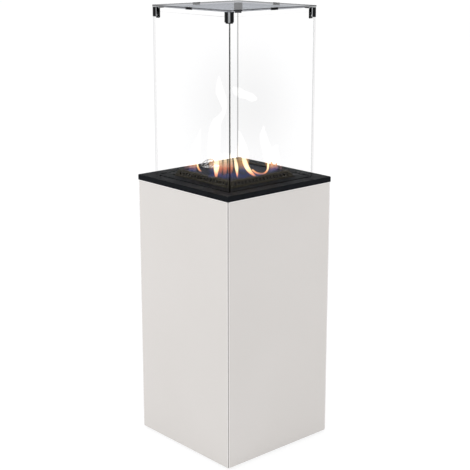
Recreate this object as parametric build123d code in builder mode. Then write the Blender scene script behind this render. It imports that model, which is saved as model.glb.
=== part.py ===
from build123d import *
import os
from math import sqrt, tan, radians

os.makedirs("parts", exist_ok=True)

# Patio gas heater: a square glass-clad column that hides a gas cylinder,
# a black top plate with a slotted burner frame, and a chimney of four clear
# panes under a tinted glass lid. Millimetres, Z up, origin on the floor
# under the middle of the column. The two shown sides are -Y and +X, the
# service door is on +Y.

# Main sizes
overall_height = 1350.0
plate_top = 838.0
body_side = 415.0
plate_overhang = 1.5
panel_foot_gap = 8.0
pane_inset = 38.5
lid_overhang = 1.5
lid_lift = 13.0

# General clearances
seat_gap = 0.3
running_gap = 0.05

# Glass cladding and the sheet trays that carry it
clad_thickness = 5.0
clad_joint = 1.4
clad_chamfer = 1.0
clad_top_gap = 0.5
tray_depth = 12.0
tray_skin = 1.2
tray_end_gap = 4.0
tray_side_gap = 1.0

# Carcass
sheet = 2.0
post_leg = 25.0
skirt_drop = 34.0
floor_vent_diameter = 110.0
seat_ring_height = 12.0
seat_ring_wall = 3.0
ring_flange = 12.0
ring_height = 23.0

# Top plate
plate_skin = 3.0
plate_lip_height = 16.0
plate_lip_wall = 2.0
plate_bevel = 1.6
plate_corner = 3.0
channel_wall = 1.5
channel_depth = 9.0

# Panes
pane_thickness = 5.0
pane_slot_gap = 0.75
pane_corner_gap = 0.8
pane_tab_inset = 20.5
pad_thickness = 1.5
pad_length = 30.0
pad_inset = 40.0
pane_rise = 0.3

# Corner brackets and the lid
lid_thickness = 6.0
lid_corner = 3.0
bracket_arm = 15.0
bracket_wall = 2.5
bracket_grip = 19.0
bracket_round = 3.0
bracket_flange = 21.0
bracket_flange_thickness = 2.5
bracket_pad = 1.2
bracket_pad_width = 10.0
clip_length = 28.0
clip_reach = 9.0
clip_wall = 0.8

# Burner
burner_inset = 38.5
frame_slope = 12.5
frame_rise = 17.0
frame_foot_drop = 7.0
frame_wall = 2.0
frame_rim_width = 9.0
slot_pitch = 14.0
slot_margin = 7.0
slot_width = 7.0
slot_height = 9.0
slot_low = 3.5
cutout_gap = 3.0
box_drop = 78.0
box_wall = 1.5
box_flange = 14.0
box_ledge = 10.0
deck_gap = 1.0
deck_sink = 3.0
deck_thickness = 1.5
deck_edge = 9.0
port_pitch = 11.0
port_length = 6.0
port_width = 2.4
port_inset = 9.0
manifold_inset = 4.0
manifold_depth = 30.0
manifold_wall = 1.5
leg_diameter = 9.0
leg_inset = 12.0
mixer_diameter = 26.0
mixer_wall = 1.5
mixer_drop = 70.0
air_hole = 12.0
injector_diameter = 14.0
injector_length = 24.0
injector_bore = 3.0

# Pilot set
pilot_inset = 11.5
pilot_y = -12.0
pilot_notch = 52.0
pilot_notch_depth = 24.0
pilot_sheet = 1.5
lead_spacing = 15.0
lead_window = 46.0
pilot_tube = 7.0
pilot_height = 16.0
probe_diameter = 3.0
ceramic_diameter = 6.0
lead_diameter = 3.4

# Heat shield and controls
shield_drop = 138.0
shield_sheet = 1.2
shield_edge = 15.0
panel_inset = 47.5
panel_sheet = 1.5
panel_drop = 92.0
valve_x = 76.0
valve_drop = 50.0
valve_round = 6.0
valve_width = 44.0
valve_depth = 40.0
valve_height = 40.0
stem_diameter = 8.0
stem_reach = 20.0
knob_diameter = 42.0
knob_length = 17.0
knob_travel = 5.0
knob_grip_width = 9.0
igniter_x = -62.0
igniter_diameter = 22.0
igniter_barrel = 38.0
bezel = 2.0
button_diameter = 16.0
button_travel = 6.0
button_length = 22.0
feed_diameter = 8.0
feed_bend = 20.0

# Gas cylinder, its valve, the regulator and the hose
cylinder_diameter = 229.0
cylinder_wall = 3.0
shell_rise = 57.0
shell_length = 288.0
head_rise = 45.0
foot_ring_diameter = 190.0
collar_diameter = 170.0
collar_height = 118.0
collar_wall = 2.5
collar_window = 64.0
handhole_width = 90.0
handhole_height = 30.0
tap_diameter = 26.0
tap_height = 50.0
tap_spindle = 8.0
outlet_height = 28.0
outlet_diameter = 20.0
outlet_reach = 44.0
wheel_knob_diameter = 50.0
wheel_knob_height = 14.0
wheel_knob_flutes = 8
flute_radius = 6.0
flute_out = 3.0
regulator_y = 125.0
regulator_diameter = 56.0
regulator_height = 24.0
spigot_reach = 48.0
spigot_diameter = 14.0
hose_diameter = 12.0
hose_bore = 8.0
inlet_drop = 30.0
hose_lead = 30.0
hose_drop = 55.0
belt_height = 30.0
belt_rise = 138.0
belt_thickness = 2.0
belt_gap = 0.3
belt_rail = 3.0
belt_half_span = 60.0

# Service door and its surround
door_margin = 38.0
door_gap = 3.0
door_foot = 24.0
door_head = 23.5
door_sheet = 1.5
door_depth = 14.5
door_round = 3.0
pivot_inset = 5.0
pivot_back = 4.5
pin_diameter = 5.0
pin_length = 9.0
pin_head = 9.0
pin_head_height = 2.0
vent_width = 66.0
vent_columns = 99.0
vent_slot = 5.0
vent_pitch = 13.0
vent_rows = 6
vent_margin = 48.0
pull_length = 90.0
pull_width = 26.0
pull_depth = 10.0
pull_wall = 1.2
pull_flange = 2.0
pull_lip = 1.0
pull_level = 430.0
pull_edge = 34.0
catch_height = 44.0
catch_width = 15.0
catch_gap = 0.4
catch_tab = 2.0
catch_wall = 2.0
catch_step = 4.0

# Castors
castor_inset = 71.5
wheel_diameter = 40.0
wheel_width = 16.0
wheel_bevel = 2.0
wheel_headroom = 4.0
axle_diameter = 6.0
axle_end = 2.0
fork_gap = 1.0
fork_cheek = 2.0
fork_length = 26.0
fork_trail = 14.0
castor_plate_side = 50.0
castor_plate = 2.5
kingpin_diameter = 8.0
race_diameter = 24.0
race_height = 4.2
kingpin_head = 2.0
castor_round = 4.0

# Worked-out places
half_body = body_side / 2
plate_side = body_side + 2 * plate_overhang
pane_box_side = plate_side - 2 * pane_inset
lid_side = pane_box_side + 2 * lid_overhang
fork_top = wheel_diameter + wheel_headroom + fork_cheek
race_low = fork_top + seat_gap
plate_low = race_low + race_height
floor_height = plate_low + castor_plate
castor_place = half_body - castor_inset
clad_back = half_body - clad_thickness
post_face = clad_back - tray_depth
post_inner = post_face - sheet
plate_under = plate_top - plate_skin
plate_lip_low = plate_top - plate_lip_height
clad_high = plate_lip_low - clad_top_gap
carcass_top = plate_under
ring_low = carcass_top - ring_height
floor_top = floor_height + sheet
half_box = pane_box_side / 2
pane_back = half_box - pane_thickness
channel_low = plate_under - channel_depth
pane_foot = channel_low + channel_wall + pad_thickness
lid_top = overall_height
lid_low = lid_top - lid_thickness
pane_top = lid_low - lid_lift
pane_tab_half = half_box - pane_tab_inset
pad_place = pane_tab_half - pad_inset
bracket_low = pane_top - bracket_grip
bracket_face = pane_back - bracket_pad
frame_foot_side = pane_box_side - 2 * burner_inset
frame_rim_side = frame_foot_side - 2 * frame_slope
slot_count = int((frame_rim_side - 2 * slot_margin) / slot_pitch)
cutout_side = frame_foot_side + 2 * cutout_gap
box_floor = plate_top - box_drop
frame_foot = plate_top - frame_foot_drop
frame_top = plate_top + frame_rise
rim_opening = frame_rim_side - 2 * frame_rim_width
deck_side = rim_opening - 2 * deck_gap
deck_top = frame_top - deck_sink
deck_under = deck_top - deck_thickness
manifold_half = deck_side / 2 - manifold_inset
notch_edge = pilot_notch_depth - deck_side / 2
pilot_x = pilot_inset - deck_side / 2
manifold_left = notch_edge + manifold_inset
manifold_low = deck_under - manifold_depth
mixer_low = manifold_low - mixer_drop
shield_height = plate_top - shield_drop
valve_z = shield_height - valve_drop
panel_y = half_body - panel_inset
door_face = half_body
door_half = half_body - door_margin
door_low = panel_foot_gap + door_foot
door_high = clad_high - door_head
door_inside = door_face - door_depth
pivot_x = pivot_inset - door_half
pivot_y = door_face - pivot_back
shell_low = floor_top + shell_rise
shell_high = shell_low + shell_length
shell_top = shell_high + head_rise
belt_level = shell_low + belt_rise
dome_radius = ((cylinder_diameter / 2) ** 2 + head_rise ** 2) / (2 * head_rise)
collar_top = shell_high + collar_height
tap_low = shell_top
outlet_z = tap_low + outlet_height


def keep(piece, node):
    """Label a finished piece and write it under its node's name."""
    piece.part.label = node
    export_step(piece.part, f"parts/{node}.step")


def square(side, level, inner=0.0, corner=0.0):
    """A square face at a level, with a square hole where inner is given."""
    with BuildSketch(Plane.XY.offset(level)) as face:
        Rectangle(side, side)
        if corner:
            fillet(face.vertices(), corner)
        if inner:
            Rectangle(inner, inner, mode=Mode.SUBTRACT)
    return face.sketch


def block(x_low, x_high, y_low, y_high, level):
    """A rectangle face at a level between two x and two y values."""
    with BuildSketch(Plane.XY.offset(level)) as face:
        with Locations(((x_low + x_high) / 2, (y_low + y_high) / 2)):
            Rectangle(x_high - x_low, y_high - y_low)
    return face.sketch


def disc(x, y, diameter, level, bore=0.0):
    """A round face at a level, with a round hole where bore is given."""
    with BuildSketch(Plane.XY.offset(level)) as face:
        with Locations((x, y)):
            Circle(diameter / 2)
            if bore:
                Circle(bore / 2, mode=Mode.SUBTRACT)
    return face.sketch


def rear_disc(x, z, diameter, y):
    """A round face that looks towards +Y, at a distance y from the middle."""
    with BuildSketch(Plane.XZ.offset(-y)) as face:
        with Locations((x, z)):
            Circle(diameter / 2)
    return face.sketch


def side_plane(side):
    """The plane of one side of the column seen from above, turned about Z."""
    turns = {"front": 0.0, "right": 90.0, "rear": 180.0, "left": 270.0}
    return Plane.XY.rotated((0, 0, turns[side]))


# Floor pan: folded sheet with a skirt, a low vent for heavy gas, a ring that
# centres the gas cylinder and four holes over the castor pins
with BuildPart() as base_pan:
    extrude(square(2 * post_face, floor_height), amount=sheet)
    extrude(square(2 * post_face, floor_height, 2 * post_inner), amount=-skirt_drop)
    seat_ring = foot_ring_diameter - 2 * cylinder_wall - 2 * seat_gap
    extrude(disc(0, 0, seat_ring, floor_top, seat_ring - 2 * seat_ring_wall),
            amount=seat_ring_height)
    extrude(disc(0, 0, floor_vent_diameter, floor_height - sheet),
            amount=3 * sheet, mode=Mode.SUBTRACT)
    for x in (-castor_place, castor_place):
        for y in (-castor_place, castor_place):
            extrude(disc(x, y, race_diameter - 2 * sheet, floor_height - sheet),
                    amount=3 * sheet, mode=Mode.SUBTRACT)
keep(base_pan, "base_pan")

# Corner posts: four steel angles, one group
with BuildPart() as corner_posts:
    for quarter in range(4):
        with BuildSketch(Plane.XY.offset(floor_top).rotated((0, 0, 90 * quarter))):
            with BuildLine():
                Polyline((post_face, post_face), (post_face - post_leg, post_face),
                         (post_face - post_leg, post_inner), (post_inner, post_inner),
                         (post_inner, post_face - post_leg), (post_face, post_face - post_leg),
                         close=True)
            make_face()
        extrude(amount=ring_low - floor_top)
keep(corner_posts, "corner_posts")

# Top ring: angle frame on the posts, under the top plate
with BuildPart() as top_ring:
    extrude(square(2 * post_face, ring_low, 2 * post_inner), amount=ring_height)
    extrude(square(2 * post_face, carcass_top, 2 * (post_face - ring_flange)), amount=-sheet)
    extrude(square(2 * post_face, ring_low, 2 * (post_face - ring_flange)), amount=sheet)
keep(top_ring, "top_ring")


def mitred_outline(plane):
    """Plan of a cladding panel on the side -Y of a turned plane, mitred at both ends."""
    outer = half_body - clad_joint
    inner = clad_back - clad_joint
    cut = clad_chamfer
    with BuildSketch(plane) as outline:
        with BuildLine():
            Polyline((-outer + cut, -half_body), (outer - cut, -half_body),
                     (outer, -half_body + cut), (inner, -clad_back),
                     (-inner, -clad_back), (-outer, -half_body + cut), close=True)
        make_face()
    return outline.sketch


# Three glass cladding panels, back-painted, and the steel trays they are bonded to
for side in ("front", "right", "left"):
    plane = side_plane(side)
    with BuildPart() as clad_glass:
        extrude(mitred_outline(plane.offset(panel_foot_gap)), amount=clad_high - panel_foot_gap)
    keep(clad_glass, f"clad_glass_{side}")

    tray_half = post_face - tray_side_gap
    tray_low = panel_foot_gap + tray_end_gap
    tray_high = clad_high - tray_end_gap
    with BuildPart() as clad_tray:
        with BuildSketch(plane.offset(tray_low)):
            with Locations((0, -(clad_back + post_face) / 2)):
                Rectangle(2 * tray_half, tray_depth)
        extrude(amount=tray_high - tray_low)
        with BuildSketch(plane.offset(tray_low + tray_skin)):
            with Locations((0, -(clad_back - tray_skin + post_face) / 2)):
                Rectangle(2 * tray_half - 2 * tray_skin, tray_depth - tray_skin)
        extrude(amount=tray_high - tray_low - 2 * tray_skin, mode=Mode.SUBTRACT)
    keep(clad_tray, f"clad_tray_{side}")

# Rear surround: painted steel frame that carries the service door
door_hole_half = door_half + door_gap
door_hole_low = door_low - door_gap
door_hole_high = door_high + door_gap
with BuildPart() as rear_surround:
    extrude(mitred_outline(side_plane("rear").offset(panel_foot_gap)),
            amount=clad_high - panel_foot_gap)
    lining_half = door_hole_half + door_sheet
    lining_low = door_hole_low - door_sheet
    lining_high = door_hole_high + door_sheet
    extrude(block(-lining_half, lining_half, post_face, clad_back, lining_low),
            amount=lining_high - lining_low)
    extrude(block(-door_hole_half, door_hole_half, post_face, door_face, door_hole_low),
            amount=door_hole_high - door_hole_low, mode=Mode.SUBTRACT)
    bush_bore = pin_diameter + 2 * running_gap
    extrude(disc(pivot_x, pivot_y, bush_bore, lining_low - clad_thickness),
            amount=lining_high - lining_low + 2 * clad_thickness, mode=Mode.SUBTRACT)
keep(rear_surround, "rear_surround")

# Top plate: pressed black steel with a folded lip, four pane slots, the
# burner cut-out and a welded channel below that takes the panes' feet
with BuildPart() as top_plate:
    extrude(square(plate_side, plate_lip_low, corner=plate_corner), amount=plate_lip_height)
    top_edges = top_plate.faces().sort_by(Axis.Z)[-1].edges()
    chamfer(top_edges, plate_bevel)
    extrude(square(plate_side - 2 * plate_lip_wall, plate_lip_low),
            amount=plate_lip_height - plate_skin, mode=Mode.SUBTRACT)
    channel_outer = pane_box_side + 2 * pane_slot_gap + 2 * channel_wall
    channel_inner = 2 * (pane_back - pane_slot_gap - channel_wall)
    groove_outer = channel_outer - 2 * channel_wall
    groove_inner = channel_inner + 2 * channel_wall
    extrude(square(channel_outer, channel_low, channel_inner), amount=channel_depth)
    extrude(square(groove_outer, channel_low + channel_wall, groove_inner),
            amount=channel_depth - channel_wall, mode=Mode.SUBTRACT)
    extrude(square(cutout_side, plate_under), amount=plate_skin, mode=Mode.SUBTRACT)
    slot_half = pane_tab_half + 2 * pane_slot_gap
    for side in ("front", "right", "rear", "left"):
        with BuildSketch(side_plane(side).offset(plate_under)):
            with Locations((0, -(half_box + pane_back) / 2)):
                Rectangle(2 * slot_half, pane_thickness + 2 * pane_slot_gap)
        extrude(amount=plate_skin, mode=Mode.SUBTRACT)
keep(top_plate, "top_plate")

# Four clear panes: each has a tab at its foot that stands in a plate slot.
# Front and rear panes run the full width, the side panes stand between them.
pane_halves = {
    "front": half_box,
    "rear": half_box,
    "right": pane_back - pane_corner_gap,
    "left": pane_back - pane_corner_gap,
}
for side, pane_half in pane_halves.items():
    plane = side_plane(side)
    shoulder = plate_top + pane_rise
    with BuildPart() as pane:
        with BuildSketch(plane.offset(shoulder)):
            with Locations((0, -(half_box + pane_back) / 2)):
                Rectangle(2 * pane_half, pane_thickness)
        extrude(amount=pane_top - shoulder)
        with BuildSketch(plane.offset(pane_foot)):
            with Locations((0, -(half_box + pane_back) / 2)):
                Rectangle(2 * pane_tab_half, pane_thickness)
        extrude(amount=shoulder - pane_foot)
    keep(pane, f"pane_{side}")

# Lid of tinted glass
with BuildPart() as lid_glass:
    extrude(square(lid_side, lid_low, corner=lid_corner), amount=lid_thickness)
keep(lid_glass, "lid_glass")

# Corner brackets: a rounded angle inside each glass corner, with a flange
# under the lid
corner_names = ("front_right", "rear_right", "rear_left", "front_left")
for quarter, corner in enumerate(corner_names):
    turned = Plane.XY.rotated((0, 0, 90 * quarter))
    with BuildPart() as bracket:
        with BuildSketch(turned.offset(bracket_low)) as angle:
            with BuildLine():
                Polyline((bracket_face, -bracket_face), (bracket_face - bracket_arm, -bracket_face),
                         (bracket_face - bracket_arm, -bracket_face + bracket_wall),
                         (bracket_face - bracket_wall, -bracket_face + bracket_wall),
                         (bracket_face - bracket_wall, -bracket_face + bracket_arm),
                         (bracket_face, -bracket_face + bracket_arm), close=True)
            make_face()
        extrude(amount=lid_low - bracket_low)
        upright = bracket.edges().filter_by(Axis.Z)
        outer_corner = upright.sort_by_distance((0, 0, bracket_low))[-1]
        fillet(outer_corner, bracket_round)
        with BuildSketch(turned.offset(lid_low - bracket_flange_thickness)) as flange:
            with Locations((bracket_face - bracket_flange / 2 + bracket_wall,
                            -bracket_face + bracket_flange / 2 - bracket_wall)):
                Rectangle(bracket_flange, bracket_flange)
            fillet(flange.vertices(), bracket_round)
        extrude(amount=bracket_flange_thickness)
    keep(bracket, f"corner_bracket_{corner}")

# Silicone pads: between each bracket and its two panes, and under the panes' tabs
with BuildPart() as glass_pads:
    pad_low = bracket_low + bracket_wall
    pad_high = pane_top - bracket_wall
    pad_far = bracket_face - bracket_round
    for quarter in range(4):
        turned = Plane.XY.rotated((0, 0, 90 * quarter))
        with BuildSketch(turned.offset(pad_low)):
            with Locations((pad_far - bracket_pad_width / 2, -(bracket_face + pane_back) / 2)):
                Rectangle(bracket_pad_width, bracket_pad)
            with Locations(((bracket_face + pane_back) / 2, -(pad_far - bracket_pad_width / 2))):
                Rectangle(bracket_pad, bracket_pad_width)
        extrude(amount=pad_high - pad_low)
        with BuildSketch(turned.offset(channel_low + channel_wall)):
            with Locations((-pad_place, -(half_box + pane_back) / 2),
                           (pad_place, -(half_box + pane_back) / 2)):
                Rectangle(pad_length, pane_thickness)
        extrude(amount=pad_thickness)
keep(glass_pads, "glass_pads")

# Edge clips: a small lens-shaped grip on the middle of each lid edge
with BuildPart() as edge_clips:
    clip_radius = (clip_length ** 2 / 4 + clip_reach ** 2) / (2 * clip_reach)
    for quarter in range(4):
        turned = Plane.XY.rotated((0, 0, 90 * quarter))
        edge_y = -lid_side / 2 - clip_wall
        with BuildSketch(turned.offset(lid_low - clip_wall)):
            with BuildLine():
                Line((-clip_length / 2, edge_y), (clip_length / 2, edge_y))
                ThreePointArc((clip_length / 2, edge_y), (0, edge_y + clip_reach),
                              (-clip_length / 2, edge_y))
            make_face()
        extrude(amount=lid_thickness + 2 * clip_wall)
    extrude(square(lid_side, lid_low), amount=lid_thickness, mode=Mode.SUBTRACT)
keep(edge_clips, "edge_clips")

# Burner box: housing that hangs in the plate's cut-out by its flange, with
# a ledge for the burner frame
with BuildPart() as burner_box:
    box_outer = cutout_side + 2 * box_wall
    extrude(square(box_outer, box_floor, cutout_side), amount=plate_under - box_floor)
    extrude(square(box_outer, box_floor), amount=box_wall)
    extrude(square(box_outer + 2 * box_flange, plate_under, cutout_side), amount=-box_wall)
    extrude(square(cutout_side, frame_foot, cutout_side - 2 * box_ledge), amount=-box_wall)
    extrude(disc(0, 0, mixer_diameter + 2 * cutout_gap, box_floor), amount=box_wall,
            mode=Mode.SUBTRACT)
    extrude(disc(pilot_x, pilot_y, lead_window, box_floor), amount=box_wall,
            mode=Mode.SUBTRACT)
keep(burner_box, "burner_box")

# Burner frame: sloped square skirt with a row of upright air slots on each
# side and a flat rim, folded from one sheet
with BuildPart() as burner_frame:
    with BuildSketch(Plane.XY.offset(frame_foot)):
        Rectangle(frame_foot_side, frame_foot_side)
    with BuildSketch(Plane.XY.offset(frame_top)):
        Rectangle(frame_rim_side, frame_rim_side)
    loft()
    with BuildSketch(Plane.XY.offset(frame_foot)):
        Rectangle(frame_foot_side - 2 * frame_wall, frame_foot_side - 2 * frame_wall)
    with BuildSketch(Plane.XY.offset(frame_top - frame_wall)):
        Rectangle(frame_rim_side - 2 * frame_wall, frame_rim_side - 2 * frame_wall)
    loft(mode=Mode.SUBTRACT)
    extrude(square(rim_opening, frame_top - frame_wall), amount=frame_wall, mode=Mode.SUBTRACT)
    slot_middle = plate_top + slot_low + slot_height / 2
    for wall_plane in (Plane.XZ, Plane.YZ):
        with BuildSketch(wall_plane):
            with Locations((0, slot_middle)):
                with GridLocations(slot_pitch, slot_height, slot_count, 1):
                    Rectangle(slot_width, slot_height)
        extrude(amount=frame_foot_side, both=True, mode=Mode.SUBTRACT)
keep(burner_frame, "burner_frame")

# Burner deck: folded steel lid of the burner with a square of flame ports
# and a notch on the left for the pilot set
port_low_x = manifold_left + port_inset
port_high_x = manifold_half - port_inset
port_high_y = manifold_half - port_inset
port_count = int((port_high_x - port_low_x) / port_pitch) + 1
with BuildPart() as burner_deck:
    extrude(square(deck_side, deck_under), amount=deck_thickness)
    extrude(square(deck_side, deck_under, deck_side - 2 * deck_thickness), amount=-deck_edge)
    with BuildSketch(Plane.XY.offset(deck_under)):
        with Locations(((port_low_x + port_high_x) / 2, 0)):
            with GridLocations(port_pitch, 2 * port_high_y, port_count, 2):
                Rectangle(port_length, port_width)
            with GridLocations(port_high_x - port_low_x, port_pitch, 2, port_count):
                Rectangle(port_width, port_length)
    extrude(amount=deck_thickness, mode=Mode.SUBTRACT)
    extrude(block(-deck_side, notch_edge, pilot_y - pilot_notch / 2, pilot_y + pilot_notch / 2,
                  deck_under - deck_edge),
            amount=deck_edge + deck_thickness, mode=Mode.SUBTRACT)
keep(burner_deck, "burner_deck")

# Burner manifold: gas pan under the deck on four welded legs, its floor
# opens into the mixing tube
with BuildPart() as burner_manifold:
    extrude(block(manifold_left, manifold_half, -manifold_half, manifold_half, manifold_low),
            amount=manifold_depth)
    extrude(block(manifold_left + manifold_wall, manifold_half - manifold_wall,
                  manifold_wall - manifold_half, manifold_half - manifold_wall,
                  manifold_low + manifold_wall),
            amount=manifold_depth, mode=Mode.SUBTRACT)
    for x in (manifold_left + leg_inset, manifold_half - leg_inset):
        for y in (leg_inset - manifold_half, manifold_half - leg_inset):
            extrude(disc(x, y, leg_diameter, box_floor + box_wall),
                    amount=manifold_low - box_floor - box_wall)
    extrude(disc(0, 0, mixer_diameter - 2 * mixer_wall, manifold_low), amount=manifold_wall,
            mode=Mode.SUBTRACT)
keep(burner_manifold, "burner_manifold")

# Mixing tube with its air holes
with BuildPart() as mixer_tube:
    mixer_bore = mixer_diameter - 2 * mixer_wall
    extrude(disc(0, 0, mixer_diameter, mixer_low, mixer_bore), amount=mixer_drop)
    extrude(disc(0, 0, mixer_diameter, mixer_low, injector_diameter), amount=mixer_wall)
    with BuildSketch(Plane.XZ):
        with Locations((0, mixer_low + air_hole)):
            Circle(air_hole / 2)
    extrude(amount=mixer_diameter, both=True, mode=Mode.SUBTRACT)
keep(mixer_tube, "mixer_tube")

# Brass injector: a hexagon under the mixing tube with a nozzle that
# reaches up into it
injector_low = mixer_low - injector_length
with BuildPart() as injector:
    with BuildSketch(Plane.XY.offset(injector_low)):
        RegularPolygon(injector_diameter / 2 + mixer_wall, 6)
    extrude(amount=injector_length)
    extrude(disc(0, 0, injector_diameter - 2 * running_gap, mixer_low), amount=3 * mixer_wall)
    extrude(disc(0, 0, injector_bore, injector_low), amount=2 * injector_length,
            mode=Mode.SUBTRACT)
keep(injector, "injector")

# Pilot bracket over the notch, with the pilot tube and its slotted hood
probe_y = pilot_y - lead_spacing
spark_y = pilot_y + lead_spacing
with BuildPart() as pilot_hood:
    extrude(block(-deck_side / 2, notch_edge + pilot_sheet * 4, pilot_y - pilot_notch / 2,
                  pilot_y + pilot_notch / 2, deck_top), amount=pilot_sheet)
    extrude(disc(pilot_x, pilot_y, pilot_tube, deck_top - pilot_height), amount=2 * pilot_height)
    extrude(disc(pilot_x, pilot_y, pilot_tube - 2 * pilot_sheet, deck_top - pilot_height),
            amount=2 * pilot_height - pilot_sheet, mode=Mode.SUBTRACT)
    with BuildSketch(Plane.XZ.offset(-pilot_y)):
        with Locations((pilot_x, deck_top + pilot_height * 0.65)):
            Rectangle(2 * pilot_tube, pilot_tube / 2)
    extrude(amount=pilot_tube, mode=Mode.SUBTRACT)
    extrude(disc(pilot_x, probe_y, probe_diameter + 2 * running_gap, deck_top),
            amount=pilot_sheet, mode=Mode.SUBTRACT)
    extrude(disc(pilot_x, spark_y, ceramic_diameter + 2 * running_gap, deck_top),
            amount=pilot_sheet, mode=Mode.SUBTRACT)
keep(pilot_hood, "pilot_hood")


def turned_path(points, radius):
    """Straight runs through the points, joined by arcs of one radius."""
    with BuildLine() as path:
        FilletPolyline(*points, radius=radius)
    return path.wire()


def tube_along(path, diameter, bore=0.0):
    """A tube face swept along a path that starts at the path's first point."""
    with BuildPart() as tube:
        with BuildSketch(Plane(origin=path @ 0, z_dir=path % 0)):
            Circle(diameter / 2)
            if bore:
                Circle(bore / 2, mode=Mode.SUBTRACT)
        sweep(path=path)
    return tube.part


# Thermocouple: its probe stands beside the pilot, its lead runs down
# through the heat shield to the back of the gas valve
valve_front = panel_y
valve_back = valve_front - valve_depth
lead_bend = 12.0
probe_top = deck_top + pilot_height - probe_diameter
probe_level = valve_z - valve_height / 4
probe_x = valve_x - valve_width / 4
with BuildPart() as thermocouple:
    add(tube_along(turned_path([
        (pilot_x, probe_y, probe_top), (pilot_x, probe_y, probe_level),
        (probe_x, probe_y, probe_level), (probe_x, valve_back, probe_level)], lead_bend),
        probe_diameter))
keep(thermocouple, "thermocouple")

# Spark electrode: ceramic sleeve with a wire tip bent over the pilot
spark_low = deck_top - 2 * pilot_height
spark_top = deck_top + pilot_height / 2
spark_wire = probe_diameter / 2
with BuildPart() as electrode:
    extrude(disc(pilot_x, spark_y, ceramic_diameter, spark_low), amount=spark_top - spark_low)
    add(tube_along(turned_path([
        (pilot_x, spark_y, spark_top - spark_wire), (pilot_x, spark_y, spark_top + pilot_height / 2),
        (pilot_x, spark_y - lead_spacing / 2, spark_top + pilot_height / 2)], 3 * spark_wire),
        spark_wire))
keep(electrode, "electrode")

# Ignition lead from the electrode to the igniter's back end
igniter_back = panel_y - igniter_barrel
lead_turn_y = (spark_y + igniter_back) / 2
with BuildPart() as ignition_lead:
    add(tube_along(turned_path([
        (pilot_x, spark_y, spark_low), (pilot_x, spark_y, valve_z),
        (igniter_x, lead_turn_y, valve_z), (igniter_x, igniter_back, valve_z)], 2 * lead_bend),
        lead_diameter))
keep(ignition_lead, "ignition_lead")

# Heat shield between the burner and the cylinder space
shield_half = post_inner - seat_gap
with BuildPart() as heat_shield:
    extrude(square(2 * shield_half, shield_height), amount=shield_sheet)
    extrude(square(2 * shield_half, shield_height, 2 * (shield_half - shield_sheet)),
            amount=-shield_edge)
    extrude(disc(0, 0, 2 * feed_diameter, shield_height), amount=shield_sheet,
            mode=Mode.SUBTRACT)
    extrude(disc(pilot_x, pilot_y, lead_window, shield_height), amount=shield_sheet,
            mode=Mode.SUBTRACT)
keep(heat_shield, "heat_shield")

# Control panel: folded sheet that hangs under the heat shield
control_half = shield_half - shield_sheet - seat_gap
with BuildPart() as control_panel:
    extrude(block(-control_half, control_half, panel_y, panel_y + panel_sheet,
                  shield_height - panel_drop), amount=panel_drop)
    extrude(block(-control_half, control_half, panel_y - shield_edge, panel_y, shield_height),
            amount=-panel_sheet)
    extrude(rear_disc(valve_x, valve_z, stem_diameter + 2 * panel_sheet, panel_y),
            amount=-panel_sheet, mode=Mode.SUBTRACT)
    extrude(rear_disc(igniter_x, valve_z, igniter_diameter + 2 * running_gap, panel_y),
            amount=-panel_sheet, mode=Mode.SUBTRACT)
keep(control_panel, "control_panel")

# Gas valve: cast body behind the panel with its inlet below
stem_seat = valve_back + valve_depth / 2
inlet_y = valve_back + valve_depth / 2
with BuildPart() as gas_valve:
    with BuildSketch(Plane.XY.offset(valve_z - valve_height / 2)) as body_plan:
        with Locations((valve_x, (valve_front + valve_back) / 2)):
            Rectangle(valve_width, valve_depth)
        fillet(body_plan.vertices(), valve_round)
    extrude(amount=valve_height)
    extrude(disc(valve_x, inlet_y, spigot_diameter, valve_z - valve_height / 2),
            amount=-inlet_drop)
    extrude(rear_disc(valve_x, valve_z, stem_diameter + 2 * running_gap, stem_seat - running_gap),
            amount=-valve_depth, mode=Mode.SUBTRACT)
keep(gas_valve, "gas_valve")

# Valve stem with a flat that drives the knob
stem_end = panel_y + stem_reach - knob_travel
with BuildPart() as valve_stem:
    extrude(rear_disc(valve_x, valve_z, stem_diameter, stem_seat), amount=-(stem_end - stem_seat))
keep(valve_stem, "valve_stem")

# Control knob: round skirt with a raised grip bar, bored for the stem
knob_back = panel_y + panel_sheet + knob_travel + 1.0
with BuildPart() as control_knob:
    extrude(rear_disc(valve_x, valve_z, knob_diameter, knob_back), amount=-knob_length / 2)
    with BuildSketch(Plane.XZ.offset(-knob_back - knob_length / 2)):
        with Locations((valve_x, valve_z)):
            SlotOverall(knob_diameter - 2.0, knob_grip_width, rotation=90)
    extrude(amount=-knob_length / 2)
    extrude(rear_disc(valve_x, valve_z, stem_diameter + 2 * running_gap, knob_back),
            amount=-(stem_end - knob_back + knob_travel + seat_gap), mode=Mode.SUBTRACT)
keep(control_knob, "control_knob")

# Igniter: threaded barrel in the panel and its sprung button
button_bore = button_diameter + 2 * running_gap
button_front = panel_y + panel_sheet + bezel + button_travel + 1.5
with BuildPart() as igniter_body:
    extrude(rear_disc(igniter_x, valve_z, igniter_diameter, igniter_back),
            amount=-(igniter_barrel + panel_sheet + bezel))
    extrude(rear_disc(igniter_x, valve_z, igniter_diameter + 2 * bezel, panel_y + panel_sheet),
            amount=-bezel)
    extrude(rear_disc(igniter_x, valve_z, button_bore, button_front - button_length
                      - button_travel - seat_gap),
            amount=-2 * button_length, mode=Mode.SUBTRACT)
keep(igniter_body, "igniter_body")
with BuildPart() as igniter_button:
    extrude(rear_disc(igniter_x, valve_z, button_diameter, button_front - button_length),
            amount=-button_length)
    button_rim = igniter_button.faces().sort_by(Axis.Y)[-1].edges()
    chamfer(button_rim, 1.0)
keep(igniter_button, "igniter_button")

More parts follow.
